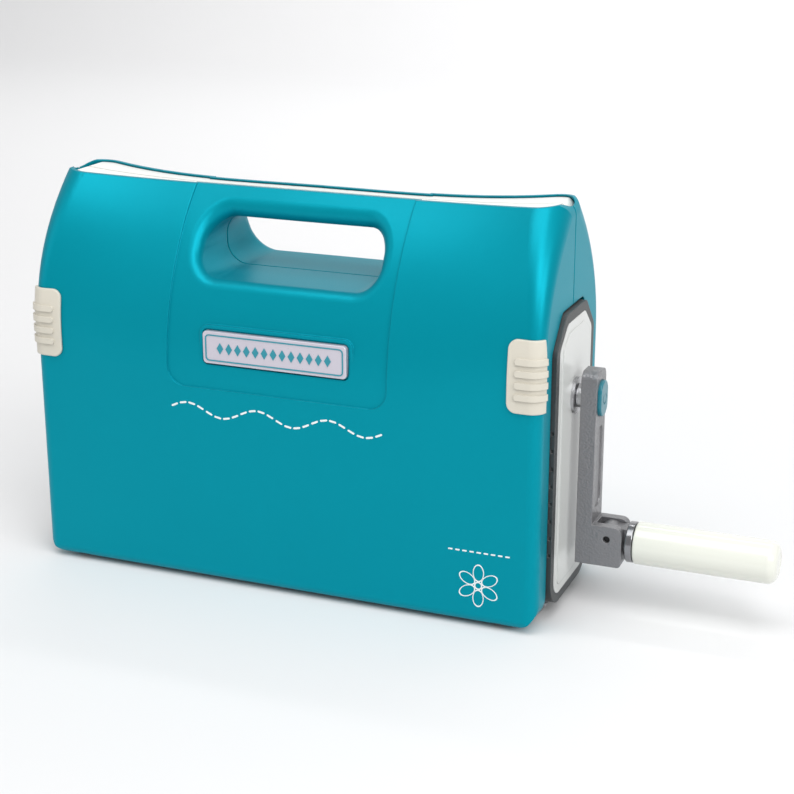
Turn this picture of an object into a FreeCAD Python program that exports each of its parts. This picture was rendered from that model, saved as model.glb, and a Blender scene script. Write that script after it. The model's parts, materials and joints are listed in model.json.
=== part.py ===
import FreeCAD, Part
import math
import os

V = FreeCAD.Vector

# Folded case, overall
half_width = 197.6
half_depth = 70.0
case_height = 290.0
end_rise = 6.0
case_bottom = 3.0
wall = 2.6
front_view_corner = 18.0
top_view_corner = 11.0
upright_corner = 9.0
upright_corner_top = 19.0
parting_gap = 0.8

# Curve of the upper case: a long arc that starts lower at the middle than at the ends
waist_half_length = 86.0
bulge_depth_middle = 130.0
bulge_depth_ends = 104.0
bulge_radius_middle = 181.0
bulge_radius_ends = 165.0

# Handle panel and hand slot
panel_step = 1.4
panel_height = 138.0
panel_corner = 14.0
slot_half_length = 70.0
slot_height = 39.0
slot_corner = 17.0
slot_lip_radius = 9.0
slot_wall = 2.6
handle_bar_height = 22.0
badge_length = 112.0
badge_height = 24.0
badge_corner = 3.0
badge_drop = 45.5
badge_thickness = 4.2
badge_recess = 4.4
badge_margin = 1.2

# Platform hinges
hinge_inset = 7.2
pin_radius = 1.8
pin_clearance = 0.05
lug_radius = 5.0
lug_width = 5.0
ear_clearance = 0.4
ear_half = 3.0
side_gap = 0.35

# Rollers and feed path
lower_axis_height = 29.5
lower_roll_radius = 9.6
upper_roll_radius = 18.5
roll_wall = 2.4
sill_thickness = 3.2
sill_leg_pitch = 47.0
liner_sheet = 2.6
liner_gap = 0.5
liner_recess = 1.6

# End housings
housing_length = 45.6
bezel_proud = 3.0
bezel_half_depth = 45.0
bezel_bottom = 10.0
bezel_drop = 69.0
bezel_shoulder_drop = 22.0
bezel_neck = 24.0
bezel_low_corner = 20.0
bezel_high_corner = 7.0
bezel_wall = 2.5
bezel_rim = 6.6
bezel_gap = 2.0
end_panel_proud = 0.8
end_panel_thickness = 3.0
notch_count = 8
notch_pitch = 12.9
notch_first_z = 52.0

# Frames, tower and base
frame_thickness = 4.0
frame_spacing = 28.5
frame_half_depth = 29.0
tower_half_depth = 30.0
tower_wall = 2.4
base_thickness = 4.0
base_half_depth = 38.0
pad_half_width = 42.0

# Gear train
gear_module = 2.0
pinion_teeth = 14
idler_teeth = 23
upper_teeth = 27
lower_teeth = 14
gear_width = 12.0
pressure_angle = 20.0
backlash = 0.28

# Shafts and bushes
running_clearance = 0.05
journal_radius = 6.0
shaft_radius = 6.0
idler_axle_radius = 5.0
bush_wall = 2.5
tie_radius = 3.0
spacer_radius = 2.0

# Crank
hub_reach = 7.1
arm_thickness = 11.5
arm_half_width = 11.5
arm_top_reach = 20.5
crank_throw = 100.5
fork_length = 22.0
fork_half_width = 13.0
fork_below_pin = 20.5
fork_above_pin = 9.5
fork_pin_reach = 11.0
fork_pin_radius = 2.6
tongue_half_width = 6.0
tongue_eye_radius = 8.5
grip_drop = 4.0
grip_radius = 15.3
grip_length = 101.0
spindle_radius = 5.0
collar_radius = 14.8
collar_length = 5.1
plug_radius = 7.6
button_height = 26.0
button_width = 18.0
button_travel = 2.0
button_proud = 2.6
button_clearance = 0.3

# Latches
latch_width = 24.0
latch_height = 51.0
latch_wrap = 7.0
latch_edge = 0.9
latch_drop = 76.0
latch_travel = 3.0
latch_lift = 0.35
latch_proud = 2.3
latch_shank = 7.0
rib_count = 4
rib_pitch = 8.2
rib_height = 4.6
rib_proud = 1.3

# Heights that follow from the case
top_middle = case_height
top_ends = case_height + end_rise
bulge_start_middle = case_height - bulge_depth_middle
bulge_start_ends = top_ends - bulge_depth_ends
slot_top = case_height - handle_bar_height
slot_bottom = slot_top - slot_height
panel_bottom = case_height - panel_height
badge_center_z = slot_bottom - badge_drop
latch_high = case_height - latch_drop
latch_low = latch_high - latch_height
bezel_top = case_height - bezel_drop
bezel_shoulder = bezel_top - bezel_shoulder_drop
tower_top = bezel_top - 7.0

# Lengths that follow from the case
bezel_plane = half_width + bezel_proud
bezel_inner_x = bezel_plane - housing_length
inner_frame_x = bezel_inner_x + 3.0
outer_frame_x = inner_frame_x + frame_spacing
inner_x1 = inner_frame_x + frame_thickness
outer_x1 = outer_frame_x + frame_thickness
gear_x = inner_x1 + 4.0
gear_end = gear_x + gear_width
hinge_x = inner_frame_x + 10.0
tower_half = bezel_inner_x - 0.5
roll_half_length = bezel_inner_x - 8.0
table_half = bezel_inner_x - 5.0
latch_inner_x = half_width - latch_width
latch_shank_x = latch_inner_x + 5.5

# Axis heights, from the lower roller up
lower_axis_z = lower_axis_height
upper_axis_z = lower_axis_z + gear_module * (upper_teeth + lower_teeth) / 2
idler_axis_z = upper_axis_z + gear_module * (idler_teeth + upper_teeth) / 2
crank_axis_z = idler_axis_z + gear_module * (pinion_teeth + idler_teeth) / 2
bush_radius = journal_radius + bush_wall
feed_height = lower_axis_z + lower_roll_radius

# Crank and handle positions
panel_depth = end_panel_thickness - end_panel_proud
face_inner = bezel_plane - panel_depth - bezel_wall
hub_face = bezel_plane + end_panel_proud
arm_inner_x = hub_face + hub_reach
arm_outer_x = arm_inner_x + arm_thickness
arm_top_z = crank_axis_z + arm_top_reach
fork_pin_x = arm_outer_x + fork_pin_reach
fork_pin_z = crank_axis_z - crank_throw
fork_outer_x = arm_outer_x + fork_length
fork_bottom_z = fork_pin_z - fork_below_pin
fork_top_z = fork_pin_z + fork_above_pin
grip_axis_z = fork_pin_z - grip_drop
collar_start_x = fork_outer_x + 2.5
collar_end_x = collar_start_x + collar_length
grip_start_x = collar_end_x + 0.4
grip_end_x = grip_start_x + grip_length

hinge_y = half_depth - hinge_inset
ear_radius = hinge_inset - wall - ear_clearance
hinge_z = case_bottom + hinge_inset
liner_plane = hinge_y - (feed_height - hinge_z)
liner_screw_points = [(side * (table_half - 18.0), z) for side in (-1, 1) for z in (60.0, bezel_top - 21.0)]
os.makedirs("parts", exist_ok=True)


def box(x0, x1, y0, y1, z0, z1):
    return Part.makeBox(x1 - x0, y1 - y0, z1 - z0, V(x0, y0, z0))


def rod_x(radius, x0, x1, y, z):
    return Part.makeCylinder(radius, x1 - x0, V(x0, y, z), V(1, 0, 0))


def rod_y(radius, y0, y1, x, z):
    return Part.makeCylinder(radius, y1 - y0, V(x, y0, z), V(0, 1, 0))


def rod_z(radius, z0, z1, x, y):
    return Part.makeCylinder(radius, z1 - z0, V(x, y, z0), V(0, 0, 1))


def tube_x(outer, inner, x0, x1, y, z):
    return rod_x(outer, x0, x1, y, z).cut(rod_x(inner, x0 - 1, x1 + 1, y, z))


def fuse(shapes):
    return shapes[0].multiFuse(shapes[1:])


def mirror_x(shape):
    return shape.mirror(V(0, 0, 0), V(1, 0, 0))


def mirror_y(shape):
    return shape.mirror(V(0, 0, 0), V(0, 1, 0))


def both_x(shape):
    return [shape, mirror_x(shape)]


def edges_along(shape, direction, test):
    found = []
    for edge in shape.Edges:
        if edge.Curve.TypeId != "Part::GeomLine":
            continue
        if abs(edge.tangentAt(edge.FirstParameter).dot(direction)) < 0.999:
            continue
        if test(edge.CenterOfMass):
            found.append(edge)
    return found


def rounded_plate_y(x0, x1, z0, z1, y0, y1, radius):
    plate = box(x0, x1, y0, y1, z0, z1)
    return plate.makeFillet(radius, edges_along(plate, V(0, 1, 0), lambda c: True))


def rounded_plate_x(y0, y1, z0, z1, x0, x1, radius):
    plate = box(x0, x1, y0, y1, z0, z1)
    return plate.makeFillet(radius, edges_along(plate, V(1, 0, 0), lambda c: True))


def rounded_plate_z(x0, x1, y0, y1, z0, z1, radius):
    plate = box(x0, x1, y0, y1, z0, z1)
    return plate.makeFillet(radius, edges_along(plate, V(0, 0, 1), lambda c: True))


def save(name, solids):
    if not isinstance(solids, list):
        solids = [solids]
    bodies = []
    for item in solids:
        bodies.extend(item.Solids)
    shape = bodies[0] if len(bodies) == 1 else Part.makeCompound(bodies)
    shape.exportStep("parts/" + name + ".step")
    return shape


# Case surface: one outline per station, joined end to end
def case_outline(x, inset, closed_top):
    share = max(0.0, (abs(x) - waist_half_length) / (half_width - waist_half_length))
    share = share * share
    start = bulge_start_middle + share * (bulge_start_ends - bulge_start_middle)
    radius = bulge_radius_middle + share * (bulge_radius_ends - bulge_radius_middle)
    top = top_middle + share * (top_ends - top_middle)
    y_face = half_depth - inset
    arc_radius = radius - inset

    def at(z):
        drop = arc_radius - math.sqrt(arc_radius ** 2 - (z - start) ** 2)
        return V(x, -(y_face - drop), z)

    low = V(x, -y_face, case_bottom + (inset if inset else 0))
    begin = V(x, -y_face, start)
    middle = at((start + top) / 2)
    end = at(top)
    lift = 0 if closed_top else 30
    edges = [
        Part.LineSegment(low, begin).toShape(),
        Part.Arc(begin, middle, end).toShape(),
    ]
    corner = V(x, end.y, top + 30)
    if lift:
        edges.append(Part.LineSegment(end, corner).toShape())
        end = corner
    inner_top = V(x, 20, end.z)
    inner_low = V(x, 20, low.z)
    edges.append(Part.LineSegment(end, inner_top).toShape())
    edges.append(Part.LineSegment(inner_top, inner_low).toShape())
    edges.append(Part.LineSegment(inner_low, low).toShape())
    return Part.Wire(edges)


def case_body(inset, closed_top):
    reach = half_width - inset
    stations = [-reach, -0.72 * reach, -waist_half_length, 0, waist_half_length, 0.72 * reach, reach]
    wires = [case_outline(x, inset, closed_top) for x in stations]
    solid = Part.makeLoft(wires, True, False)
    return solid


def upright_edges(solid, reach):
    found = []
    for edge in solid.Edges:
        span = edge.BoundBox
        if span.XLength > 0.01 or abs(abs(span.XMin) - reach) > 0.01:
            continue
        if span.ZLength < 20 or span.YMax > -5:
            continue
        found.append(edge)
    return found


def rounded_case(inset, closed_top):
    solid = case_body(inset, True)
    reach = half_width - inset
    solid = solid.makeFillet(upright_corner - inset, upright_corner_top - inset, upright_edges(solid, reach))
    if not closed_top:
        lids = [face for face in solid.Faces if face.BoundBox.ZMin > top_middle - 1]
        solid = fuse([solid] + [lid.extrude(V(0, 0, 30)) for lid in lids])
    low = case_bottom + inset
    high = top_ends + 0.01 - min(inset, 0) if closed_top else 400
    frame = box(-reach, reach, -200, 200, low, high)
    picked = edges_along(frame, V(0, 1, 0), lambda c: c.z < low + 1)
    frame = frame.makeFillet(front_view_corner - inset, picked)
    if closed_top:
        picked = edges_along(frame, V(0, 1, 0), lambda c: c.z > high - 1)
        frame = frame.makeFillet(top_view_corner - inset, picked)
    return solid.common(frame)


def end_outline(grow, x0, x1, open_bottom):
    half = bezel_half_depth + grow
    low = bezel_bottom - grow
    if open_bottom:
        low = -20
    neck = bezel_neck + grow * 0.5
    points = [
        V(x0, -half, low),
        V(x0, half, low),
        V(x0, half, bezel_shoulder),
        V(x0, neck, bezel_top + grow),
        V(x0, -neck, bezel_top + grow),
        V(x0, -half, bezel_shoulder),
    ]
    face = Part.Face(Part.makePolygon(points + [points[0]]))
    solid = face.extrude(V(x1 - x0, 0, 0))
    if not open_bottom:
        low_edges = edges_along(solid, V(1, 0, 0), lambda c: c.z < low + 1)
        solid = solid.makeFillet(bezel_low_corner + grow, low_edges)
    high_edges = edges_along(solid, V(1, 0, 0), lambda c: c.z > bezel_shoulder - 1)
    return solid.makeFillet(bezel_high_corner, high_edges)


# Hand slot: a straight throat that flares to the outer face
def slot_solid(grow):
    throat = rounded_plate_y(
        -slot_half_length - grow, slot_half_length + grow,
        slot_bottom - grow, slot_top + grow,
        -half_depth - 20, 20, slot_corner + grow,
    )
    return throat


def slot_lip_edges(solid):
    """Edges where the hand slot breaks through the outer face."""
    found = []
    for edge in solid.Edges:
        span = edge.BoundBox
        middle = edge.CenterOfMass
        inside = abs(middle.x) < slot_half_length + 1 and slot_bottom - 1 < middle.z < slot_top + 1
        along_throat = span.XLength < 0.1 and span.ZLength < 0.1
        if inside and not along_throat and middle.y < -5 and span.YMin < -20:
            found.append(edge)
    return found


def panel_zone(grow):
    return rounded_plate_y(
        -waist_half_length - grow, waist_half_length + grow, panel_bottom - grow, 400,
        -200, 0, panel_corner + grow,
    )


def make_shell(with_badge):
    outer = rounded_case(0, True)
    half = box(-300, 300, -200, -parting_gap, -10, 400)
    # stepped handle panel, then the hand slot with its rolled lip
    outer = outer.cut(panel_zone(0).cut(case_body(panel_step, True)))
    outer = outer.cut(slot_solid(0))
    outer = outer.makeFillet(slot_lip_radius, slot_lip_edges(outer))
    # hollow, leaving the slot's throat and the thicker ring behind its lip
    cavity = rounded_case(wall, False)
    cavity = cavity.cut(panel_zone(wall).cut(case_body(panel_step + wall, False)))
    throat = slot_solid(slot_wall)
    lip_ring = slot_solid(slot_lip_radius + 2.0).cut(case_body(slot_lip_radius + 5.0, False))
    cavity = cavity.cut(throat).cut(lip_ring)
    skin = outer.cut(cavity).common(half)
    # bottom edge and hinge lugs
    flat = half_width - front_view_corner
    skin = skin.cut(box(-flat, flat, -hinge_y + 3, 20, -5, case_bottom + wall + 0.5))
    lugs = []
    for side in (-1, 1):
        for offset in (-1, 1):
            middle = side * hinge_x + offset * (ear_half + side_gap + lug_width / 2)
            low_x = middle - lug_width / 2
            high_x = middle + lug_width / 2
            lugs.append(rod_x(lug_radius, low_x, high_x, -hinge_y, hinge_z))
            lugs.append(box(low_x, high_x, -half_depth + 1.0, -hinge_y,
                            hinge_z - lug_radius + 0.4, hinge_z + lug_radius + 6))
    skin = fuse([skin] + lugs)
    reach = ear_half + side_gap
    for side in (-1, 1):
        skin = skin.cut(box(side * hinge_x - reach, side * hinge_x + reach,
                            -half_depth + wall, 0, -5, hinge_z))
    skin = skin.cut(rod_x(pin_radius + pin_clearance, -hinge_x - 20, hinge_x + 20, -hinge_y, hinge_z))
    corner = box(-300, 300, -half_depth - 1, -hinge_y, case_bottom - 1, hinge_z)
    corner = corner.cut(rod_x(hinge_inset, -300, 300, -hinge_y, hinge_z))
    skin = skin.cut(corner)
    for x, z in liner_screw_points:
        boss = rod_y(4.5, -half_depth + 1.0, -liner_plane - 2.9, x, z).common(outer)
        skin = fuse([skin, boss]).cut(rod_y(1.6, -liner_plane - 14, -liner_plane, x, z))
    # side walls follow the end housings
    for cut in both_x(end_outline(bezel_gap, half_width - 30, half_width + 10, True)):
        skin = skin.cut(cut)
    if not with_badge:
        return skin
    # slots for the latch shanks, long enough for their travel
    for cut in both_x(latch_slot()):
        skin = skin.cut(cut)
    recess = badge_plate(badge_margin, -half_depth - 5, -half_depth + badge_recess)
    backing = badge_plate(badge_margin + wall, -half_depth + 3, -half_depth + badge_recess + wall)
    skin = fuse([skin, backing]).cut(recess)
    return skin


def badge_plate(grow, y0, y1):
    half_length = badge_length / 2 + grow
    half_height = badge_height / 2 + grow
    low_z = badge_center_z - half_height
    high_z = badge_center_z + half_height
    return rounded_plate_y(-half_length, half_length, low_z, high_z, y0, y1, badge_corner + grow)


def latch_slot():
    middle = (latch_low + latch_high) / 2
    x0 = latch_shank_x
    return box(x0 - 0.4, x0 + latch_shank + 0.4, -half_depth - 1, -half_depth + 8,
               middle - latch_shank - 0.4, middle + latch_shank + latch_travel + 0.5)


def rim_edges(plate, skin, zone):
    """Edges where the outer skin of a plate meets the sides of its zone."""
    skin_faces = Part.Shell(skin.Faces)
    zone_faces = Part.Shell(zone.Faces)
    found = []
    for edge in plate.Edges:
        middle = Part.Vertex(edge.valueAt((edge.FirstParameter + edge.LastParameter) / 2))
        if max(skin_faces.distToShape(middle)[0], zone_faces.distToShape(middle)[0]) < 0.01:
            found.append(edge)
    return found


def make_latch():
    """A plate that follows the case corner, ribbed for the thumb, with a hooked shank."""
    depth_end = -half_depth + latch_wrap
    zone = rounded_plate_y(latch_inner_x, half_width + 20, latch_low, latch_high,
                           -half_depth - 30, depth_end, 7.0)
    skin = rounded_case(-latch_proud, True)
    plate = skin.common(zone).cut(rounded_case(-latch_lift, True))
    plate = plate.makeFillet(latch_edge, rim_edges(plate, skin, zone))
    middle = (latch_low + latch_high) / 2
    rib_space = rounded_case(-latch_proud - rib_proud, True)
    ribs = []
    for index in range(rib_count):
        z = middle + (index - (rib_count - 1) / 2) * rib_pitch - 1.5
        rib = box(latch_inner_x + 5.5, half_width + 20, -half_depth - 30, depth_end - 1.5,
                  z - rib_height / 2, z + rib_height / 2)
        rib = rib.makeFillet(rib_height * 0.45, edges_along(rib, V(0, 1, 0), lambda c: c.x < half_width))
        ribs.append(rib.common(rib_space))
    body = fuse([plate] + [rib.cut(rounded_case(-latch_proud / 2, True)) for rib in ribs])
    x0 = latch_shank_x
    shank = box(x0, x0 + latch_shank, -half_depth - 1.2, -half_depth + 8,
                middle - latch_shank, middle + latch_shank)
    hook = box(x0, x0 + latch_shank, -half_depth + 5.5, -half_depth + 8, middle + latch_shank - 1,
               middle + latch_shank + 3)
    return fuse([body, shank, hook])


def make_liner():
    low = feed_height + 2.0
    sheet = liner_sheet
    deck_low = bezel_top + 1.6
    fill = rounded_case(wall + liner_gap, False)
    crown = case_body(0, True)
    crown.translate(V(0, 0, -liner_recess))
    upper = fill.common(crown).common(box(-300, 300, -200, -parting_gap - 0.2, deck_low, 400))
    for cut in both_x(end_corner()):
        upper = upper.cut(cut)
    upper_space = box(-half_width + 9, half_width - 9, -200, -parting_gap - 0.2 - sheet,
                      deck_low + sheet, top_middle - liner_recess - sheet)
    lower = fill.common(box(-table_half, table_half, -200, -liner_plane, low, deck_low + 1))
    lower_space = box(-table_half + sheet, table_half - sheet, -200, -liner_plane - sheet,
                      low + sheet, deck_low + 10)
    liner = fuse([upper, lower]).cut(upper_space).cut(lower_space)
    liner = liner.cut(slot_solid(slot_wall + liner_gap))
    lip_room = slot_solid(slot_lip_radius + 2.0 + liner_gap)
    liner = liner.cut(lip_room.cut(case_body(slot_lip_radius + 5.0 + liner_gap, False)))
    liner = liner.cut(panel_zone(wall + liner_gap).cut(case_body(panel_step + wall + liner_gap, False)))
    for x, z in liner_screw_points:
        liner = liner.cut(screw_y(x, z, -liner_plane, 0.05))
    return liner


def end_corner():
    """Takes the liner's top end corner down in a round shoulder."""
    reach = half_width - wall - 1.5
    block = box(reach - 30, reach + 30, -100, 30, 100, 600)
    keep = box(reach - 60, reach, -100, 30, 100, top_ends - liner_recess)
    shoulder = edges_along(keep, V(0, 1, 0), lambda c: c.z > top_ends - 5 and c.x > reach - 1)
    keep = keep.makeFillet(12.0, shoulder)
    return block.cut(keep)


def screw_y(x, z, y_face, grow):
    shank = rod_y(1.6 + grow, y_face - 14, y_face, x, z)
    head = rod_y(3.2 + grow, y_face - 1.8, y_face + (1 if grow else 0), x, z)
    return fuse([shank, head])


def gear_profile(teeth, bore_radius, x0, x1, z, turn):
    pitch_radius = gear_module * teeth / 2
    base_radius = pitch_radius * math.cos(math.radians(pressure_angle))
    tip_radius = pitch_radius + gear_module * 0.95
    root_radius = pitch_radius - gear_module * 1.25
    half_tooth = math.pi / (2 * teeth) - backlash / (2 * pitch_radius)
    roll = math.tan(math.radians(pressure_angle)) - math.radians(pressure_angle)

    def flank(radius):
        if radius <= base_radius:
            return half_tooth + roll
        angle = math.acos(base_radius / radius)
        return half_tooth + roll - (math.tan(angle) - angle)

    start_radius = max(base_radius, root_radius)
    steps = 6
    radii = [start_radius + (tip_radius - start_radius) * i / steps for i in range(steps + 1)]

    def place(radius, angle):
        return V(x0, radius * math.sin(angle), z + radius * math.cos(angle))

    edges = []
    for tooth in range(teeth):
        center = turn + 2 * math.pi * tooth / teeth
        rising = [place(r, center - flank(r)) for r in radii]
        falling = [place(r, center + flank(r)) for r in reversed(radii)]
        root_in = place(root_radius, center - flank(start_radius))
        root_out = place(root_radius, center + flank(start_radius))
        next_center = center + 2 * math.pi / teeth
        next_in = place(root_radius, next_center - flank(start_radius))
        valley = place(root_radius, center + math.pi / teeth)
        if root_in.sub(rising[0]).Length > 1e-6:
            edges.append(Part.LineSegment(root_in, rising[0]).toShape())
        curve = Part.BSplineCurve()
        curve.interpolate(rising)
        edges.append(curve.toShape())
        edges.append(Part.Arc(rising[-1], place(tip_radius, center), falling[0]).toShape())
        curve = Part.BSplineCurve()
        curve.interpolate(falling)
        edges.append(curve.toShape())
        if root_out.sub(falling[-1]).Length > 1e-6:
            edges.append(Part.LineSegment(falling[-1], root_out).toShape())
        edges.append(Part.Arc(root_out, valley, next_in).toShape())
    face = Part.Face(Part.Wire(edges))
    solid = face.extrude(V(x1 - x0, 0, 0))
    return solid.cut(rod_x(bore_radius, x0 - 1, x1 + 1, 0, z))


# Outer shells and liners
save("front_shell", make_shell(True))
save("back_shell", mirror_y(make_shell(False)))
front_liner = make_liner()
save("front_liner", front_liner)
save("back_liner", mirror_y(front_liner))
liner_screws = [screw_y(x, z, -liner_plane, 0) for x, z in liner_screw_points]
save("front_liner_screws", liner_screws)
save("back_liner_screws", [mirror_y(s) for s in liner_screws])

badge_back = -half_depth + badge_recess
badge = badge_plate(0, badge_back - badge_thickness, badge_back)
front_edges = [edge for edge in badge.Edges if edge.BoundBox.YMax < badge_back - badge_thickness + 0.01]
save("badge", badge.makeFillet(0.8, front_edges))

# Latches on the front platform
right_latch = make_latch()
save("front_right_latch", right_latch)
save("front_left_latch", mirror_x(right_latch))

# Base, hinges and pad
base_top = case_bottom + base_thickness
base = box(-outer_x1, outer_x1, -base_half_depth, base_half_depth, case_bottom, base_top)
base = base.makeFillet(6, edges_along(base, V(0, 0, 1), lambda c: True))
ears = []
for side in (-1, 1):
    x0 = side * hinge_x - ear_half
    x1 = side * hinge_x + ear_half
    for depth in (-1, 1):
        y0, y1 = sorted((depth * base_half_depth, depth * hinge_y))
        inner_y0, inner_y1 = sorted((depth * base_half_depth, depth * (hinge_y - hinge_inset - 0.5)))
        ears.append(fuse([
            box(x0, x1, y0, y1, hinge_z - ear_radius, hinge_z + ear_radius),
            box(x0, x1, inner_y0, inner_y1, case_bottom + 0.5, hinge_z + ear_radius),
            rod_x(ear_radius, x0, x1, depth * hinge_y, hinge_z),
        ]))
pins = []
for side in (-1, 1):
    for depth in (-1, 1):
        half = ear_half + side_gap + lug_width - 0.1
        pins.append(rod_x(pin_radius, side * hinge_x - half, side * hinge_x + half, depth * hinge_y, hinge_z))
for pin in pins:
    ears = [ear.cut(pin) for ear in ears]
save("hinge_brackets", ears)
foot_screws = []
for x in (inner_frame_x + 2, outer_frame_x + 2):
    for y in (-22.0, 22.0):
        shank = rod_z(1.5, case_bottom + 0.3, 18, x, y)
        head = rod_z(3.0, case_bottom + 0.3, case_bottom + 2.2, x, y)
        foot_screws.extend(both_x(fuse([shank, head])))
for screw in foot_screws:
    base = base.cut(screw)
for x in (inner_frame_x + 2, outer_frame_x + 2):
    for y in (-22.0, 22.0):
        for countersink in both_x(rod_z(3.0, 0, case_bottom + 1, x, y)):
            base = base.cut(countersink)
save("base_plate", base)
save("base_pad", rounded_plate_z(-table_half, table_half, -pad_half_width, pad_half_width, 0, case_bottom, 6))
save("front_hinge_pins", [p for p in pins if p.CenterOfMass.y < 0])
save("back_hinge_pins", [p for p in pins if p.CenterOfMass.y > 0])
save("frame_screws", foot_screws)

# Side frames and gear frame
roll_bores = [(bush_radius, upper_axis_z), (bush_radius, lower_axis_z)]
frame_top = tower_top - 18.0
tie_points = [(-20.0, tower_top - 14.0), (20.0, tower_top - 14.0), (-22.0, 104.0), (22.0, 104.0)]
spacer_points = [(-23.0, 20.0), (23.0, 20.0), (-23.0, frame_top - 6.0), (23.0, frame_top - 6.0)]


def mouth_plate(x0, x1, bores):
    plate = end_outline(-bezel_wall - 0.5, x0, x1, False)
    foot = box(x0, x1, -frame_half_depth, frame_half_depth, base_top, 40)
    plate = fuse([plate, foot])
    for radius, y, z in bores:
        plate = plate.cut(rod_x(radius, x0 - 1, x1 + 1, y, z))
    for screw in foot_screws:
        plate = plate.cut(screw)
    return plate


tie_bores = [(tie_radius, y, z) for y, z in tie_points]
spacer_bores = [(spacer_radius, y, z) for y, z in spacer_points]
centered = [(radius, 0, z) for radius, z in roll_bores]
drive_bores = [(shaft_radius + bush_wall, 0, crank_axis_z), (idler_axle_radius, 0, idler_axis_z)]
right_frame = mouth_plate(inner_frame_x, inner_x1, centered + tie_bores + spacer_bores + drive_bores)
left_frame = mirror_x(mouth_plate(inner_frame_x, inner_x1, centered + tie_bores))
gear_frame = box(outer_frame_x, outer_x1, -frame_half_depth, frame_half_depth, base_top, frame_top)
gear_frame = gear_frame.makeFillet(8, edges_along(gear_frame, V(1, 0, 0), lambda c: c.z > 100))
for radius, y, z in spacer_bores + drive_bores:
    gear_frame = gear_frame.cut(rod_x(radius, outer_frame_x - 1, outer_x1 + 1, y, z))
for screw in foot_screws:
    gear_frame = gear_frame.cut(screw)
save("right_inner_frame", right_frame)
save("left_inner_frame", left_frame)
save("gear_frame", gear_frame)
ties = []
for y, z in tie_points:
    bar = rod_x(tie_radius + 1.5, -inner_frame_x, inner_frame_x, y, z)
    ends = rod_x(tie_radius, -inner_x1, inner_x1, y, z)
    ties.append(fuse([bar, ends]))
save("tie_bars", ties)
spacers = []
for y, z in spacer_points:
    bar = rod_x(spacer_radius + 1.5, inner_x1, outer_frame_x, y, z)
    ends = rod_x(spacer_radius, inner_frame_x, outer_x1, y, z)
    spacers.append(fuse([bar, ends]))
save("gear_frame_spacers", spacers)


def bush(radius, x0, x1, z):
    return tube_x(radius + bush_wall, radius + running_clearance, x0, x1, 0, z)


roll_bushes = []
for z in (upper_axis_z, lower_axis_z):
    roll_bushes.extend(both_x(bush(journal_radius, inner_frame_x, inner_x1, z)))
save("roller_bushes", roll_bushes)
save("crank_bushes", [
    bush(shaft_radius, inner_frame_x, inner_x1, crank_axis_z),
    bush(shaft_radius, outer_frame_x, outer_x1, crank_axis_z),
])

# Tower cover and feed sills
cover_low = upper_axis_z - upper_roll_radius + 1.5
cover = box(-tower_half, tower_half, -tower_half_depth, tower_half_depth, cover_low, tower_top)
cover = cover.makeFillet(6, edges_along(cover, V(1, 0, 0), lambda c: c.z > tower_top - 5))
space = box(-tower_half - 1, tower_half + 1, -tower_half_depth + tower_wall, tower_half_depth - tower_wall,
            cover_low - 1, tower_top - tower_wall)
space = space.makeFillet(3.6, edges_along(space, V(1, 0, 0), lambda c: c.z > tower_top - 5))
save("tower_cover", cover.cut(space))
sill_near = lower_roll_radius + 2.0
sill_far = hinge_y - 3.0
sill_top = feed_height
sill_half = table_half - 2.0
sill = box(-sill_half, sill_half, -sill_far, -sill_near, sill_top - sill_thickness, sill_top)
sill = sill.makeFillet(2.0, edges_along(sill, V(1, 0, 0), lambda c: c.y < -40 and c.z > sill_top - 1))
leg_count = int(sill_half // sill_leg_pitch)
legs = []
for index in range(-leg_count, leg_count + 1):
    x = index * sill_leg_pitch
    legs.append(box(x - 2, x + 2, -base_half_depth + 1, -15, base_top, sill_top - 2))
sill = fuse([sill] + legs)
save("front_feed_sill", sill)
save("back_feed_sill", mirror_y(sill))

# Rollers and gears
upper_roller = fuse([
    tube_x(upper_roll_radius, upper_roll_radius - roll_wall, -roll_half_length, roll_half_length,
           0, upper_axis_z),
    rod_x(upper_roll_radius - 0.5, -roll_half_length, -roll_half_length + 6, 0, upper_axis_z),
    rod_x(upper_roll_radius - 0.5, roll_half_length - 6, roll_half_length, 0, upper_axis_z),
    rod_x(journal_radius, -inner_x1 - 1.5, -roll_half_length + 1, 0, upper_axis_z),
    rod_x(journal_radius, roll_half_length - 1, gear_end + 2, 0, upper_axis_z),
])
save("upper_roller", upper_roller)
lower_roller = fuse([
    rod_x(lower_roll_radius, -roll_half_length, roll_half_length, 0, lower_axis_z),
    rod_x(journal_radius, -inner_x1 - 1.5, gear_end + 2, 0, lower_axis_z),
])
save("lower_roller", lower_roller)
save("upper_gear", gear_profile(upper_teeth, journal_radius, gear_x, gear_end,
                                upper_axis_z, math.pi / upper_teeth))
save("lower_gear", gear_profile(lower_teeth, journal_radius, gear_x, gear_end,
                                lower_axis_z, math.pi / lower_teeth))
save("idler_gear", gear_profile(idler_teeth, idler_axle_radius + running_clearance, gear_x, gear_end,
                                idler_axis_z, math.pi / idler_teeth))
save("drive_pinion", gear_profile(pinion_teeth, shaft_radius, gear_x, gear_end, crank_axis_z, 0))
idler_axle = fuse([
    rod_x(idler_axle_radius, inner_frame_x, outer_x1, 0, idler_axis_z),
    rod_x(idler_axle_radius + 2.0, inner_x1, gear_x - 0.4, 0, idler_axis_z),
    rod_x(idler_axle_radius + 2.0, gear_end + 0.4, outer_frame_x, 0, idler_axis_z),
])
save("idler_axle", idler_axle)

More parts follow.
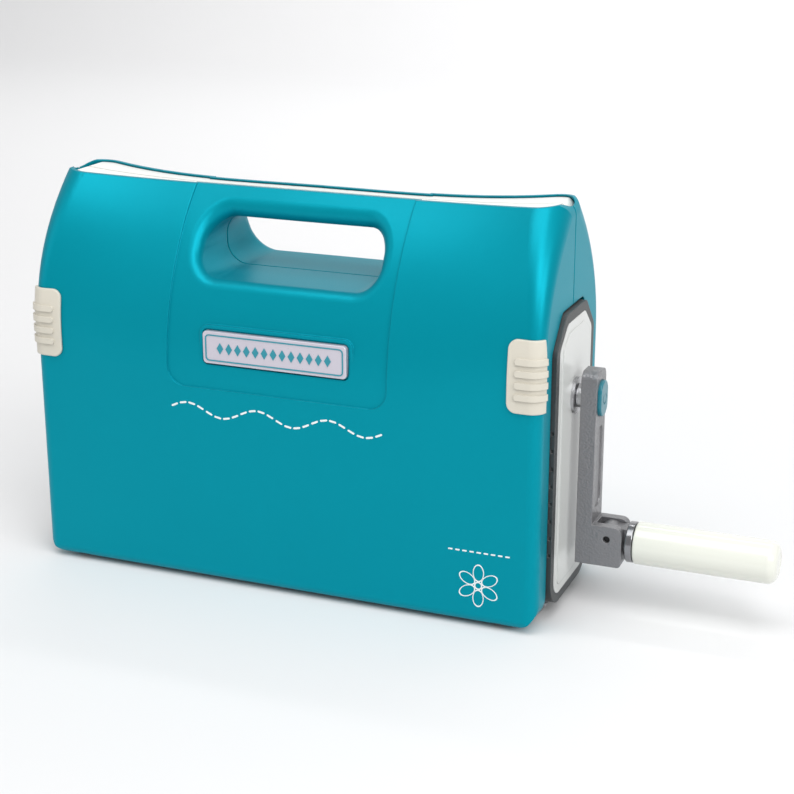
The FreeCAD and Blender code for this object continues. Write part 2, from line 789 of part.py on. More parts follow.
# End housings
def make_bezel(hub):
    solid = end_outline(0, bezel_inner_x, bezel_plane, False)
    solid = solid.cut(end_outline(-bezel_wall, bezel_inner_x - 1, face_inner, False))
    solid = solid.cut(end_outline(-bezel_rim, bezel_plane - panel_depth, bezel_plane + 1, False))
    solid = solid.cut(box(bezel_inner_x - 1, outer_x1 + 0.5, -frame_half_depth - 0.5, frame_half_depth + 0.5,
                          0, bezel_bottom + bezel_wall + 5))
    for depth in (-1, 1):
        for index in range(notch_count):
            z = notch_first_z + index * notch_pitch
            y0, y1 = sorted((depth * (bezel_half_depth - 1.2), depth * (bezel_half_depth + 1)))
            solid = solid.cut(box(half_width + 0.2, bezel_plane - 0.9, y0, y1, z - 1.4, z + 1.4))
    for y in (-31.5, 31.5):
        foot = box(bezel_inner_x + 8, outer_x1 - 6, y - 1.8, y + 1.8, base_top, bezel_bottom + 12)
        solid = fuse([solid, foot])
    if hub:
        solid = solid.cut(rod_x(9.0, face_inner - 1, bezel_plane + 1, 0, crank_axis_z))
    return solid


def make_end_panel(hub):
    low_x = bezel_plane - panel_depth
    high_x = bezel_plane + end_panel_proud
    solid = end_outline(-bezel_rim - 0.3, low_x, high_x - 0.6, False)
    field = end_outline(-bezel_rim - 7.0, high_x - 0.8, high_x, False)
    solid = fuse([solid, field])
    if hub:
        solid = solid.cut(rod_x(9.0, low_x - 1, high_x + 1, 0, crank_axis_z))
    return solid


right_bezel = make_bezel(True)
save("right_bezel", right_bezel)
save("left_bezel", mirror_x(make_bezel(False)))
save("right_end_panel", make_end_panel(True))
save("left_end_panel", mirror_x(make_end_panel(False)))
hub_ring = fuse([
    rod_x(9.0, face_inner, hub_face + 0.5, 0, crank_axis_z),
    rod_x(13.0, hub_face, hub_face + 2.2, 0, crank_axis_z),
]).cut(rod_x(shaft_radius + running_clearance, 0, 300, 0, crank_axis_z))
save("hub_ring", hub_ring)

# Crank
crank_shaft = fuse([
    rod_x(shaft_radius, inner_frame_x - 1.5, arm_outer_x - 4.5, 0, crank_axis_z),
    rod_x(8.5, hub_face + 2.8, arm_inner_x, 0, crank_axis_z),
])
save("crank_shaft", crank_shaft)
def make_arm():
    lower_half = fork_half_width
    points = [
        V(arm_inner_x, -lower_half, fork_bottom_z),
        V(arm_inner_x, lower_half, fork_bottom_z),
        V(arm_inner_x, lower_half, fork_top_z),
        V(arm_inner_x, arm_half_width, arm_top_z),
        V(arm_inner_x, -arm_half_width, arm_top_z),
        V(arm_inner_x, -lower_half, fork_top_z),
    ]
    blade = Part.Face(Part.makePolygon(points + [points[0]])).extrude(V(arm_outer_x - arm_inner_x, 0, 0))
    blade = blade.makeFillet(7.0, edges_along(blade, V(1, 0, 0), lambda c: c.z > arm_top_z - 1))
    block = box(arm_inner_x, fork_outer_x, -fork_half_width, fork_half_width, fork_bottom_z, fork_top_z)
    outer_edges = edges_along(block, V(0, 1, 0), lambda c: c.x > fork_outer_x - 1 and c.z > fork_pin_z)
    block = block.makeFillet(6.0, outer_edges)
    outer_edges = edges_along(block, V(0, 1, 0), lambda c: c.x > fork_outer_x - 1 and c.z < fork_bottom_z + 1)
    block = block.makeFillet(3.0, outer_edges)
    arm = fuse([blade, block])
    # shallow hollow along the outer face
    scoop = rounded_plate_x(-7.5, 7.5, fork_top_z + 10, crank_axis_z - 21,
                            arm_outer_x - 1.0, arm_outer_x + 1, 6.0)
    arm = arm.cut(scoop)
    gap = tongue_half_width + side_gap
    throat_x = fork_pin_x - tongue_eye_radius - 0.5
    arm = arm.cut(box(throat_x, fork_outer_x + 1, -gap, gap, fork_pin_z - 12.5, fork_top_z + 10))
    arm = arm.cut(rod_y(fork_pin_radius, -20, 20, fork_pin_x, fork_pin_z))
    arm = arm.cut(rod_x(shaft_radius, arm_inner_x - 1, arm_outer_x - 4.5, 0, crank_axis_z))
    button_hole = button_width / 2 + button_clearance
    arm = arm.cut(oval_x(button_hole, button_height, arm_outer_x - 4.5, arm_outer_x + 1))
    return arm


def oval_x(half, height, x0, x1):
    return rounded_plate_x(-half, half, crank_axis_z - height / 2 - half + button_width / 2,
                           crank_axis_z + height / 2 + half - button_width / 2, x0, x1, half * 0.98)


save("crank_arm", make_arm())
pin_reach = fork_half_width - 2.5
save("fork_pin", rod_y(fork_pin_radius, -pin_reach, pin_reach, fork_pin_x, fork_pin_z))
button_face = arm_outer_x + button_proud
button = oval_x(button_width / 2, button_height, arm_outer_x - 4.0 + button_travel, button_face)
button = button.makeFillet(1.0, [e for e in button.Edges if e.BoundBox.XMin > button_face - 0.1])
mark = tube_x(4.4, 3.2, button_face - 0.5, button_face + 2, 0, crank_axis_z)
mark = mark.cut(box(arm_outer_x, arm_outer_x + 5, -2.2, 2.2, crank_axis_z, crank_axis_z + 8))
save("release_button", button.cut(mark))

# Folding handle
tongue = fuse([
    rod_y(tongue_eye_radius, -tongue_half_width, tongue_half_width, fork_pin_x, fork_pin_z),
    box(fork_pin_x, collar_start_x, -tongue_half_width, tongue_half_width, grip_axis_z - 7, fork_pin_z + 7),
]).cut(rod_y(fork_pin_radius + running_clearance, -20, 20, fork_pin_x, fork_pin_z))
tongue = tongue.cut(rod_x(spindle_radius, fork_pin_x + 5.5, 300, 0, grip_axis_z))
save("handle_tongue", tongue)
spindle = fuse([
    rod_x(spindle_radius, fork_pin_x + 5.5, grip_end_x - 8, 0, grip_axis_z),
    rod_x(plug_radius - 0.6, grip_end_x - 9, grip_end_x - 6.5, 0, grip_axis_z),
])
save("handle_spindle", spindle)
collar = tube_x(collar_radius, spindle_radius, collar_start_x, collar_end_x, 0, grip_axis_z)
collar = collar.makeFillet(0.8, [e for e in collar.Edges if abs(e.BoundBox.YMax - collar_radius) < 0.01])
save("handle_collar", collar)
grip = rod_x(grip_radius, grip_start_x, grip_end_x, 0, grip_axis_z)
grip = grip.makeFillet(7.0, [e for e in grip.Edges if e.BoundBox.XMin > grip_end_x - 0.01])
grip = grip.makeFillet(1.5, [e for e in grip.Edges
                             if e.BoundBox.XMax < grip_start_x + 0.01 and e.BoundBox.YLength > 20])
grip = grip.cut(rod_x(spindle_radius + running_clearance, grip_start_x - 1, grip_end_x - 9, 0, grip_axis_z))
grip = grip.cut(rod_x(plug_radius, grip_end_x - 9.4, grip_end_x + 1, 0, grip_axis_z))
save("handle_grip", grip)
save("grip_end_plug", rod_x(plug_radius, grip_end_x - 5.0, grip_end_x - 0.2, 0, grip_axis_z))
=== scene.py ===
"""Folding die cutting machine: studio scene, finishes and the small trim pieces."""
import json
import math

import bmesh
import bpy
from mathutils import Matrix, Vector


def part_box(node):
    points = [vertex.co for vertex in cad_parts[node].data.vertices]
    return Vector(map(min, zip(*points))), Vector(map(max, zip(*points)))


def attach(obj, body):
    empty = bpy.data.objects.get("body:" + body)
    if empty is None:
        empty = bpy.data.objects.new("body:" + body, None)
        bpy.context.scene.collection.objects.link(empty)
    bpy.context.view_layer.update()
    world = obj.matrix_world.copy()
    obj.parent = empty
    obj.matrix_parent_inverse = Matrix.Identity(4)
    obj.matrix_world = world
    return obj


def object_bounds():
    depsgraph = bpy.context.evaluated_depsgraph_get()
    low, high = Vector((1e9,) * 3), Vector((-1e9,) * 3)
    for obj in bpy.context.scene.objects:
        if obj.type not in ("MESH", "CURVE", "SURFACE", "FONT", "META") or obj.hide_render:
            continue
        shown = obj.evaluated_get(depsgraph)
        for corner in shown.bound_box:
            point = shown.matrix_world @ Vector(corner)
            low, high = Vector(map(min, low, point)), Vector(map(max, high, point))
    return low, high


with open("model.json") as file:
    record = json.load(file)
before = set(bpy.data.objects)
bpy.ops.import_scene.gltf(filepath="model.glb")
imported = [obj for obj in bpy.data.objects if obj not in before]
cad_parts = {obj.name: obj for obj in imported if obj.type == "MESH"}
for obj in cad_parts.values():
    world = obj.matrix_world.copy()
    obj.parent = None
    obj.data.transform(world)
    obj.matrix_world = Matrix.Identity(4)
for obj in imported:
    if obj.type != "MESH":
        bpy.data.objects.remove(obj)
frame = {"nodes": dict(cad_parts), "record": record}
cad_low, cad_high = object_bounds()
nodes = frame["nodes"]


# ---------------------------------------------------------------- effects
def new_effect(name, inputs, outputs):
    group = bpy.data.node_groups.new(name, "ShaderNodeTree")
    for label, kind, value in inputs:
        socket = group.interface.new_socket(name=label, in_out="INPUT", socket_type=kind)
        socket.default_value = value
    for label, kind in outputs:
        group.interface.new_socket(name=label, in_out="OUTPUT", socket_type=kind)
    start = group.nodes.new("NodeGroupInput")
    end = group.nodes.new("NodeGroupOutput")
    return group, start, end


def add(tree, kind, **settings):
    node = tree.nodes.new(kind)
    for key, value in settings.items():
        setattr(node, key, value)
    return node


def math_step(tree, operation, first, second, clamp=False):
    node = add(tree, "ShaderNodeMath", operation=operation, use_clamp=clamp)
    for index, value in enumerate((first, second)):
        if isinstance(value, (int, float)):
            node.inputs[index].default_value = value
        else:
            tree.links.new(value, node.inputs[index])
    return node.outputs[0]


def blend_colours(tree, mask, under, over):
    node = add(tree, "ShaderNodeMix", data_type="RGBA", blend_type="MIX")
    tree.links.new(mask, node.inputs["Factor"])
    for socket, value in ((node.inputs[6], under), (node.inputs[7], over)):
        if isinstance(value, tuple):
            socket.default_value = value
        else:
            tree.links.new(value, socket)
    return node.outputs[2]


def noise_at(tree, place, size, detail=2.0, rough=0.5, stretch=None):
    source = place
    if stretch:
        mapping = add(tree, "ShaderNodeMapping")
        mapping.inputs["Scale"].default_value = stretch
        tree.links.new(place, mapping.inputs["Vector"])
        source = mapping.outputs[0]
    noise = add(tree, "ShaderNodeTexNoise")
    noise.inputs["Detail"].default_value = detail
    noise.inputs["Roughness"].default_value = rough
    tree.links.new(source, noise.inputs["Vector"])
    if isinstance(size, (int, float)):
        noise.inputs["Scale"].default_value = size
    else:
        tree.links.new(size, noise.inputs["Scale"])
    return noise.outputs["Fac"]


def colour_drift_effect():
    """Slow drift of a moulded or painted colour, with faint mottling in it."""
    mottle_scale = 260.0
    mottle_share = 0.2
    group, start, end = new_effect(
        "colour_drift",
        [("Colour", "NodeSocketColor", (0.5, 0.5, 0.5, 1)), ("Shade", "NodeSocketColor", (0.3, 0.3, 0.3, 1)),
         ("Amount", "NodeSocketFloat", 0.3), ("Patch size", "NodeSocketFloat", 9.0)],
        [("Colour", "NodeSocketColor")])
    place = add(group, "ShaderNodeTexCoord").outputs["Object"]
    broad = noise_at(group, place, start.outputs["Patch size"], 3.0)
    broad = math_step(group, "MULTIPLY", broad, 1 - mottle_share)
    fine = noise_at(group, place, mottle_scale, 2.0)
    fine = math_step(group, "MULTIPLY", fine, mottle_share)
    mask = math_step(group, "ADD", broad, fine)
    mask = math_step(group, "MULTIPLY", mask, start.outputs["Amount"], True)
    mixed = blend_colours(group, mask, start.outputs["Colour"], start.outputs["Shade"])
    group.links.new(mixed, end.inputs["Colour"])
    return group


def edge_wear_effect():
    """Where corners and rims have been handled: a broken mask along every sharp edge."""
    edge_gain = 6.0
    gap_level, gap_gain = 0.36, 4.0
    group, start, end = new_effect(
        "edge_wear",
        [("Width", "NodeSocketFloat", 0.001), ("Amount", "NodeSocketFloat", 0.5),
         ("Break up", "NodeSocketFloat", 90.0)],
        [("Mask", "NodeSocketFloat")])
    bevel = add(group, "ShaderNodeBevel", samples=4)
    group.links.new(start.outputs["Width"], bevel.inputs["Radius"])
    geometry = add(group, "ShaderNodeNewGeometry")
    dot = add(group, "ShaderNodeVectorMath", operation="DOT_PRODUCT")
    group.links.new(bevel.outputs[0], dot.inputs[0])
    group.links.new(geometry.outputs["Normal"], dot.inputs[1])
    edge = math_step(group, "SUBTRACT", 1.0, dot.outputs["Value"])
    edge = math_step(group, "MULTIPLY", edge, edge_gain, True)
    place = add(group, "ShaderNodeTexCoord").outputs["Object"]
    broken = noise_at(group, place, start.outputs["Break up"], 4.0, 0.65)
    broken = math_step(group, "SUBTRACT", broken, gap_level)
    broken = math_step(group, "MULTIPLY", broken, gap_gain, True)
    mask = math_step(group, "MULTIPLY", edge, broken)
    mask = math_step(group, "MULTIPLY", mask, start.outputs["Amount"], True)
    group.links.new(mask, end.inputs["Mask"])
    return group


def fine_grain_effect():
    """The tiny unevenness of a moulded, sprayed or cast skin, as a height and a mask."""
    wave_scale = 16.0
    group, start, end = new_effect(
        "fine_grain",
        [("Size", "NodeSocketFloat", 900.0), ("Waviness", "NodeSocketFloat", 0.3)],
        [("Height", "NodeSocketFloat"), ("Mask", "NodeSocketFloat")])
    place = add(group, "ShaderNodeTexCoord").outputs["Object"]
    tight = noise_at(group, place, start.outputs["Size"], 2.0, 0.6)
    wide = noise_at(group, place, wave_scale, 2.0, 0.5)
    height = math_step(group, "ADD", tight, math_step(group, "MULTIPLY", wide, start.outputs["Waviness"]))
    group.links.new(height, end.inputs["Height"])
    group.links.new(tight, end.inputs["Mask"])
    return group


def brushed_lines_effect():
    """Turning or grinding lines, close together along X and drawn out across it."""
    line_stretch = (4.0, 0.12, 0.12)
    spot_scale = 60.0
    group, start, end = new_effect(
        "brushed_lines",
        [("Fineness", "NodeSocketFloat", 500.0)],
        [("Height", "NodeSocketFloat"), ("Mask", "NodeSocketFloat")])
    place = add(group, "ShaderNodeTexCoord").outputs["Object"]
    lines = noise_at(group, place, start.outputs["Fineness"], 3.0, 0.6, line_stretch)
    spots = noise_at(group, place, spot_scale, 3.0, 0.6)
    spots = math_step(group, "ADD", spots, 0.5)
    group.links.new(lines, end.inputs["Height"])
    group.links.new(math_step(group, "MULTIPLY", lines, spots, True), end.inputs["Mask"])
    return group


def hammered_effect():
    """Rounded dimples of a hammered enamel coat."""
    wash_scale = 140.0
    group, start, end = new_effect(
        "hammered_coat",
        [("Dimples", "NodeSocketFloat", 420.0)],
        [("Height", "NodeSocketFloat"), ("Mask", "NodeSocketFloat")])
    place = add(group, "ShaderNodeTexCoord").outputs["Object"]
    cells = add(group, "ShaderNodeTexVoronoi", feature="SMOOTH_F1")
    group.links.new(place, cells.inputs["Vector"])
    group.links.new(start.outputs["Dimples"], cells.inputs["Scale"])
    wash = noise_at(group, place, wash_scale, 3.0, 0.6)
    wash = math_step(group, "ADD", wash, 0.4)
    group.links.new(cells.outputs["Distance"], end.inputs["Height"])
    group.links.new(math_step(group, "MULTIPLY", cells.outputs["Distance"], wash, True), end.inputs["Mask"])
    return group


def settled_dust_effect():
    """A faint film on faces that look up."""
    flat_enough, film_gain = 0.55, 2.2
    patch_scale = 38.0
    group, start, end = new_effect(
        "settled_dust", [("Amount", "NodeSocketFloat", 0.1)], [("Mask", "NodeSocketFloat")])
    geometry = add(group, "ShaderNodeNewGeometry")
    parts = add(group, "ShaderNodeSeparateXYZ")
    group.links.new(geometry.outputs["Normal"], parts.inputs[0])
    up = math_step(group, "SUBTRACT", parts.outputs["Z"], flat_enough)
    up = math_step(group, "MULTIPLY", up, film_gain, True)
    place = add(group, "ShaderNodeTexCoord").outputs["Object"]
    patch = noise_at(group, place, patch_scale, 4.0, 0.6)
    mask = math_step(group, "MULTIPLY", up, patch)
    mask = math_step(group, "MULTIPLY", mask, start.outputs["Amount"], True)
    group.links.new(mask, end.inputs["Mask"])
    return group


EFFECTS = {
    "drift": colour_drift_effect(),
    "wear": edge_wear_effect(),
    "grain": fine_grain_effect(),
    "brushed": brushed_lines_effect(),
    "hammered": hammered_effect(),
    "dust": settled_dust_effect(),
}


def use(tree, effect, **values):
    node = add(tree, "ShaderNodeGroup", node_tree=EFFECTS[effect])
    for key, value in values.items():
        node.inputs[key.replace("_", " ")].default_value = value
    return node


# ---------------------------------------------------------------- finishes
DUST_COLOUR = (0.62, 0.61, 0.58, 1)
WEAR_ROUGHENS = 0.15
DUST_ROUGHENS = 0.4
WEAR_WIDTH = 0.0008


def finish(name, colour, shade, rough, metal=0.0, coat=0.0, coat_rough=0.1, drift=0.3, patch=9.0,
           skin="grain", skin_size=900.0, bump=0.05, bump_depth=0.0002, rough_swing=0.12, wear=0.35,
           wear_colour=(0.7, 0.7, 0.7, 1), wear_metal=0.0, dust=0.12, specular=0.5, soft_edge=0.0):
    """One material: base colour that drifts, edge wear, dust and a skin; soft_edge rounds sharp edges."""
    material = bpy.data.materials.new(name)
    material.use_nodes = True
    tree = material.node_tree
    tree.nodes.clear()
    shader = add(tree, "ShaderNodeBsdfPrincipled")
    output = add(tree, "ShaderNodeOutputMaterial")
    tree.links.new(shader.outputs[0], output.inputs[0])
    tone = use(tree, "drift", Colour=colour + (1,), Shade=shade + (1,), Amount=drift, Patch_size=patch)
    worn = use(tree, "wear", Width=WEAR_WIDTH, Amount=wear)
    film = use(tree, "dust", Amount=dust)
    base = blend_colours(tree, worn.outputs["Mask"], tone.outputs["Colour"], wear_colour)
    base = blend_colours(tree, film.outputs["Mask"], base, DUST_COLOUR)
    tree.links.new(base, shader.inputs["Base Color"])
    if skin == "hammered":
        surface = use(tree, "hammered", Dimples=skin_size)
    elif skin == "brushed":
        surface = use(tree, "brushed", Fineness=skin_size)
    else:
        surface = use(tree, "grain", Size=skin_size)
    swing = math_step(tree, "MULTIPLY", surface.outputs["Mask"], rough_swing)
    level = math_step(tree, "ADD", swing, rough - rough_swing * 0.5)
    for mask, gain in ((worn.outputs["Mask"], WEAR_ROUGHENS), (film.outputs["Mask"], DUST_ROUGHENS)):
        level = math_step(tree, "ADD", level, math_step(tree, "MULTIPLY", mask, gain), True)
    tree.links.new(level, shader.inputs["Roughness"])
    shader.inputs["Metallic"].default_value = metal
    if wear_metal != metal:
        gain = math_step(tree, "MULTIPLY", worn.outputs["Mask"], wear_metal - metal)
        tree.links.new(math_step(tree, "ADD", gain, metal, True), shader.inputs["Metallic"])
    shader.inputs["Coat Weight"].default_value = coat
    shader.inputs["Coat Roughness"].default_value = coat_rough
    shader.inputs["Specular IOR Level"].default_value = specular
    relief = add(tree, "ShaderNodeBump")
    relief.inputs["Strength"].default_value = bump
    relief.inputs["Distance"].default_value = bump_depth
    tree.links.new(surface.outputs["Height"], relief.inputs["Height"])
    if soft_edge:
        rounding = add(tree, "ShaderNodeBevel", samples=6)
        rounding.inputs["Radius"].default_value = soft_edge
        tree.links.new(rounding.outputs[0], relief.inputs["Normal"])
    tree.links.new(relief.outputs[0], shader.inputs["Normal"])
    return material


FINISHES = {
    "teal_shell": finish(
        "teal_satin_paint", (0.0, 0.29, 0.375), (0.0, 0.215, 0.295), 0.38, metal=0.45, drift=0.35,
        skin_size=2600.0, bump=0.12, wear=0.25, wear_colour=(0.02, 0.4, 0.5, 1), dust=0.01, specular=0.08,
        soft_edge=0.0012),
    "white_liner": finish(
        "white_moulding", (0.84, 0.84, 0.81), (0.74, 0.74, 0.71), 0.38, bump=0.1, wear=0.2,
        wear_colour=(0.6, 0.59, 0.56, 1), dust=0.08),
    "latch_cream": finish(
        "cream_latch_moulding", (0.64, 0.605, 0.52), (0.54, 0.505, 0.43), 0.36, drift=0.35, bump=0.12,
        wear=0.3, wear_colour=(0.55, 0.51, 0.43, 1), dust=0.08, soft_edge=0.0008),
    "charcoal": finish(
        "charcoal_moulding", (0.042, 0.048, 0.05), (0.028, 0.032, 0.034), 0.45, drift=0.5,
        skin_size=1500.0, bump=0.25, wear=0.5, wear_colour=(0.2, 0.21, 0.215, 1), dust=0.15,
        soft_edge=0.0012),
    "panel_white": finish(
        "glossy_end_panel", (0.63, 0.645, 0.63), (0.54, 0.555, 0.54), 0.22, coat=0.15, wear=0.2,
        wear_colour=(0.6, 0.61, 0.6, 1), soft_edge=0.0008),
    "grip_white": finish(
        "ivory_grip", (0.75, 0.76, 0.69), (0.67, 0.68, 0.61), 0.16, coat=0.4, coat_rough=0.06,
        drift=0.25, wear=0.25, wear_colour=(0.66, 0.66, 0.6, 1), dust=0.03),
    "arm_grey": finish(
        "hammered_grey_enamel", (0.24, 0.24, 0.25), (0.15, 0.15, 0.16), 0.38, metal=0.55, drift=0.5,
        skin="hammered", skin_size=650.0, bump=0.5, bump_depth=0.0006, rough_swing=0.2, wear=0.5,
        wear_colour=(0.62, 0.62, 0.63, 1), wear_metal=0.9, soft_edge=0.001),
    "steel": finish(
        "turned_steel", (0.5, 0.5, 0.515), (0.32, 0.33, 0.345), 0.3, metal=1.0, drift=0.4,
        skin="brushed", skin_size=420.0, bump=0.15, rough_swing=0.2, wear=0.2,
        wear_colour=(0.78, 0.78, 0.79, 1)),
    "dark_chrome": finish(
        "dark_plated_collar", (0.3, 0.3, 0.31), (0.17, 0.17, 0.19), 0.2, metal=1.0, drift=0.4,
        skin="brushed", skin_size=600.0, bump=0.08, wear=0.3, wear_colour=(0.8, 0.8, 0.8, 1)),
    "zinc_plate": finish(
        "zinc_plated_sheet", (0.36, 0.38, 0.4), (0.25, 0.26, 0.29), 0.4, metal=0.85, drift=0.7,
        patch=45.0, bump=0.15, wear=0.4, wear_colour=(0.6, 0.6, 0.6, 1)),
    # Blackened steel pin finish. Its near-black colour is partly the pin's own colour and partly painted
    # shade, standing in for the shadow inside the pivot hole.
    "black_oxide": finish(
        "black_pin_with_painted_hole_shade", (0.012, 0.012, 0.013), (0.03, 0.03, 0.03), 0.4, metal=0.5, drift=0.4,
        bump=0.1, wear=0.3, wear_colour=(0.2, 0.2, 0.2, 1), dust=0.05),
    "bronze": finish(
        "bush_bronze", (0.5, 0.33, 0.14), (0.3, 0.2, 0.1), 0.35, metal=1.0, drift=0.5, skin="brushed"),
    "gear_steel": finish(
        "hobbed_gear_steel", (0.42, 0.43, 0.45), (0.24, 0.25, 0.27), 0.35, metal=1.0, drift=0.5,
        skin="brushed", skin_size=700.0, bump=0.2, wear=0.5, wear_colour=(0.75, 0.75, 0.75, 1)),
    "rubber_pad": finish(
        "grip_pad_rubber", (0.03, 0.03, 0.03), (0.05, 0.05, 0.05), 0.75, drift=0.6, bump=0.5,
        skin_size=1400.0, wear=0.3, wear_colour=(0.1, 0.1, 0.1, 1)),
    "badge_silver": finish(
        "pearl_badge", (0.62, 0.59, 0.66), (0.5, 0.47, 0.55), 0.3, metal=0.35, coat=0.5,
        coat_rough=0.08, drift=0.5, patch=30.0, wear=0.25, wear_colour=(0.8, 0.78, 0.82, 1), dust=0.02),
    "button_teal": finish(
        "teal_cap", (0.0, 0.17, 0.23), (0.0, 0.11, 0.15), 0.3, coat=0.2, drift=0.4, bump=0.08, wear=0.3,
        wear_colour=(0.1, 0.45, 0.52, 1), soft_edge=0.0007),
}
for entry in frame["record"]["subparts"]:
    piece = nodes[entry["node"]]
    for place in range(max(1, len(piece.material_slots))):
        if not piece.material_slots:
            piece.data.materials.append(FINISHES[entry["material_slot"]])
        piece.material_slots[place].material = FINISHES[entry["material_slot"]]


# ---------------------------------------------------------------- trim pieces
def new_piece(name, mesh_builder, material, body):
    mesh = bpy.data.meshes.new(name)
    builder = bmesh.new()
    mesh_builder(builder)
    bmesh.ops.recalc_face_normals(builder, faces=builder.faces)
    builder.to_mesh(mesh)
    builder.free()
    piece = bpy.data.objects.new(name, mesh)
    bpy.context.scene.collection.objects.link(piece)
    mesh.materials.append(material)
    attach(piece, body)
    return piece


def raised_outline(builder, outline, y_back, y_front):
    """A closed outline in x and z, standing out of the front face."""
    back = [builder.verts.new((x, y_back, z)) for x, z in outline]
    front = [builder.verts.new((x, y_front, z)) for x, z in outline]
    builder.faces.new(front)
    builder.faces.new(list(reversed(back)))
    for index in range(len(outline)):
        after = (index + 1) % len(outline)
        builder.faces.new((back[index], back[after], front[after], front[index]))


def rounded_bar(cx, cz, length, thick, angle):
    """The outline of a dash with round ends, turned by angle."""
    end_steps = 6
    points = []
    half = length / 2 - thick / 2
    for side in (1, -1):
        for step in range(end_steps + 1):
            turn = -math.pi / 2 + math.pi * step / end_steps
            points.append((side * (half + thick / 2 * math.cos(turn)), side * thick / 2 * math.sin(turn)))
    cosine, sine = math.cos(angle), math.sin(angle)
    return [(cx + x * cosine - z * sine, cz + x * sine + z * cosine) for x, z in points]


face_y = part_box("front_shell")[0][1]
print_back = face_y + 0.0001
print_front = face_y - 0.00018
print_white = finish("printed_white", (0.86, 0.88, 0.88), (0.74, 0.78, 0.78), 0.45, bump=0.1, wear=0.2,
                     wear_colour=(0.4, 0.6, 0.65, 1), dust=0.0)


def stitched_wave(builder):
    """A plain running stitch in a gentle wave under the handle panel."""
    count = 24
    width, middle_z = 0.168, 0.1355
    swing, turns = 0.0045, math.pi * 6
    stitch_length, stitch_width = 0.0056, 0.0014
    for index in range(count):
        share = (index + 0.5) / count
        x = -width / 2 + width * share
        z = middle_z + swing * math.sin(share * turns)
        slope = swing * turns / width * math.cos(share * turns)
        stitch = rounded_bar(x, z, stitch_length, stitch_width, math.atan(slope))
        raised_outline(builder, stitch, print_back, print_front)


new_piece("printed_stitch_line", stitched_wave, print_white, "front_platform")


def ring_band(builder, cx, cz, radius, steps=28, squash=1.0, turn=0.0):
    """A thin printed ring in the front plane, squashed to an oval and turned."""
    thick = 0.0009
    corners = ((radius - thick / 2, print_front), (radius + thick / 2, print_front),
               (radius + thick / 2, print_back), (radius - thick / 2, print_back))
    rows = []
    for step in range(steps):
        angle = 2 * math.pi * step / steps
        row = []
        for reach, y in corners:
            x, z = reach * math.cos(angle), reach * squash * math.sin(angle)
            row.append(builder.verts.new((cx + x * math.cos(turn) - z * math.sin(turn), y,
                                          cz + x * math.sin(turn) + z * math.cos(turn))))
        rows.append(row)
    close_ring(builder, rows)


def close_ring(builder, rows):
    """Four-sided bands between each row of corners and the next, round to the first."""
    for one, two in zip(rows, rows[1:] + rows[:1]):
        for corner in range(4):
            after = (corner + 1) % 4
            builder.faces.new((one[corner], one[after], two[after], two[corner]))


def blossom(builder):
    """A plain outline flower with a row of dashes above it."""
    cx, cz = 0.1555, 0.0325
    petals, petal_reach, petal_radius, petal_squash = 6, 0.0095, 0.0062, 0.62
    eye_radius = 0.0026
    dashes, dash_x, dash_z, dash_pitch = 9, 0.1345, 0.0575, 0.00525
    dash_length, dash_width = 0.0034, 0.0011
    for petal in range(petals):
        angle = math.pi / petals + petal * 2 * math.pi / petals
        ring_band(builder, cx + petal_reach * math.cos(angle), cz + petal_reach * math.sin(angle),
                  petal_radius, squash=petal_squash, turn=angle)
    ring_band(builder, cx, cz, eye_radius, steps=18)
    for index in range(dashes):
        dash = rounded_bar(dash_x + dash_pitch * index, dash_z, dash_length, dash_width, 0.0)
        raised_outline(builder, dash, print_back, print_front)


new_piece("printed_flower", blossom, print_white, "front_platform")

badge_low, badge_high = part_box("badge")


def badge_rim(builder):
    """A fine raised border and a row of lozenges on the blank badge."""
    inset = 0.0022
    x0, x1 = badge_low[0] + inset, badge_high[0] - inset
    z0, z1 = badge_low[2] + inset, badge_high[2] - inset
    y_back, y_front = badge_low[1] + 0.0002, badge_low[1] - 0.0004
    radius, thick, corner_steps = 0.003, 0.0009, 6
    lozenges, pitch, half_width, half_height = 13, 0.007, 0.0026, 0.0042
    corners = ((x1 - radius, z1 - radius), (x0 + radius, z1 - radius),
               (x0 + radius, z0 + radius), (x1 - radius, z0 + radius))
    section = ((radius - thick, y_front), (radius, y_front), (radius, y_back), (radius - thick, y_back))
    rows = []
    for quarter, (cx, cz) in enumerate(corners):
        for step in range(corner_steps + 1):
            angle = math.pi / 2 * (quarter + step / corner_steps)
            rows.append([builder.verts.new((cx + reach * math.cos(angle), y, cz + reach * math.sin(angle)))
                         for reach, y in section])
    close_ring(builder, rows)
    middle = (z0 + z1) / 2
    for index in range(lozenges):
        x = pitch * (index - (lozenges - 1) / 2)
        raised_outline(builder, [(x - half_width, middle), (x, middle - half_height),
                                 (x + half_width, middle), (x, middle + half_height)], y_back, y_front)


badge_teal = finish("badge_inlay", (0.02, 0.28, 0.36), (0.01, 0.2, 0.28), 0.3, metal=0.3, coat=0.3,
                    wear=0.1, dust=0.0)
new_piece("badge_border", badge_rim, badge_teal, "front_platform")


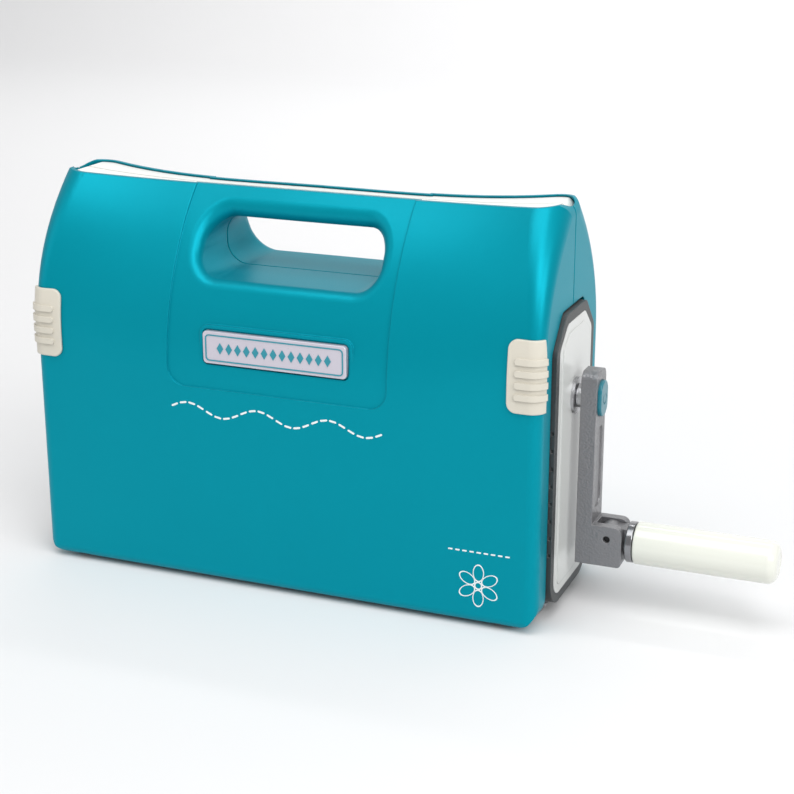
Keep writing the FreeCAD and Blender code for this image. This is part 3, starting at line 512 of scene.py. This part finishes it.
# ---------------------------------------------------------------- studio
def studio_floor():
    """A paper sweep: a flat floor that curves up into a wall behind the machine."""
    half_span, front_edge, wall_top = 6.0, -4.0, 5.0
    bend_start, bend_radius, bend_steps = 2.6, 1.2, 12
    mesh = bpy.data.meshes.new("studio_floor")
    builder = bmesh.new()
    profile = [(front_edge, 0.0)]
    for step in range(bend_steps + 1):
        angle = math.pi / 2 * step / bend_steps
        profile.append((bend_start + bend_radius * math.sin(angle), bend_radius * (1 - math.cos(angle))))
    profile.append((bend_start + bend_radius, wall_top))
    rows = [[builder.verts.new((x, y, cad_low[2] + z)) for x in (-half_span, half_span)] for y, z in profile]
    for one, two in zip(rows, rows[1:]):
        face = builder.faces.new((one[0], one[1], two[1], two[0]))
        face.smooth = True
    builder.to_mesh(mesh)
    builder.free()
    floor = bpy.data.objects.new("studio_floor", mesh)
    bpy.context.scene.collection.objects.link(floor)
    mesh.materials.append(finish("paper_sweep", (0.76, 0.76, 0.765), (0.72, 0.72, 0.725), 0.85, drift=0.15,
                                 bump=0.02, wear=0.0, dust=0.0, specular=0.2))


def soft_light(name, spot, aim, size, power):
    light = bpy.data.lights.new(name, "AREA")
    light.shape = "RECTANGLE"
    light.size, light.size_y = size
    light.energy = power
    holder = bpy.data.objects.new(name, light)
    holder.location = spot
    holder.rotation_euler = (Vector(aim) - Vector(spot)).to_track_quat("-Z", "Y").to_euler()
    bpy.context.scene.collection.objects.link(holder)


studio_floor()
soft_light("key_right", (1.3, -1.5, 1.7), (0.05, 0, 0.15), (1.0, 1.0), 17)
soft_light("fill_left", (-1.8, -1.3, 1.0), (0, 0, 0.15), (1.6, 1.6), 5)
soft_light("top_bank", (0.1, -0.7, 2.2), (0, 0, 0.1), (2.2, 1.4), 28)
soft_light("backdrop_wash", (0.0, 1.6, 2.6), (0, 3.8, 0.6), (3.0, 1.0), 70)
soft_light("right_strip", (1.9, -0.75, 1.05), (0.2, 0, 0.15), (0.8, 0.8), 11)
world = bpy.data.worlds.new("studio_air")
bpy.context.scene.world = world
world.use_nodes = True
world.node_tree.nodes["Background"].inputs[0].default_value = (1, 1, 1, 1)
world.node_tree.nodes["Background"].inputs[1].default_value = 0.48
bpy.context.scene.view_settings.view_transform = "Standard"

camera_data = bpy.data.cameras.new("studio_camera")
camera_data.lens = 77.8
camera_data.sensor_width = 36.0
camera_data.clip_start = 0.05
camera = bpy.data.objects.new("studio_camera", camera_data)
camera.location = (0.5150, -1.1125, 0.5272)
aim = Vector((0.06881, -0.0070, 0.14191))
camera.rotation_euler = (aim - camera.location).to_track_quat("-Z", "Y").to_euler()
bpy.context.scene.collection.objects.link(camera)
bpy.context.scene.camera = camera
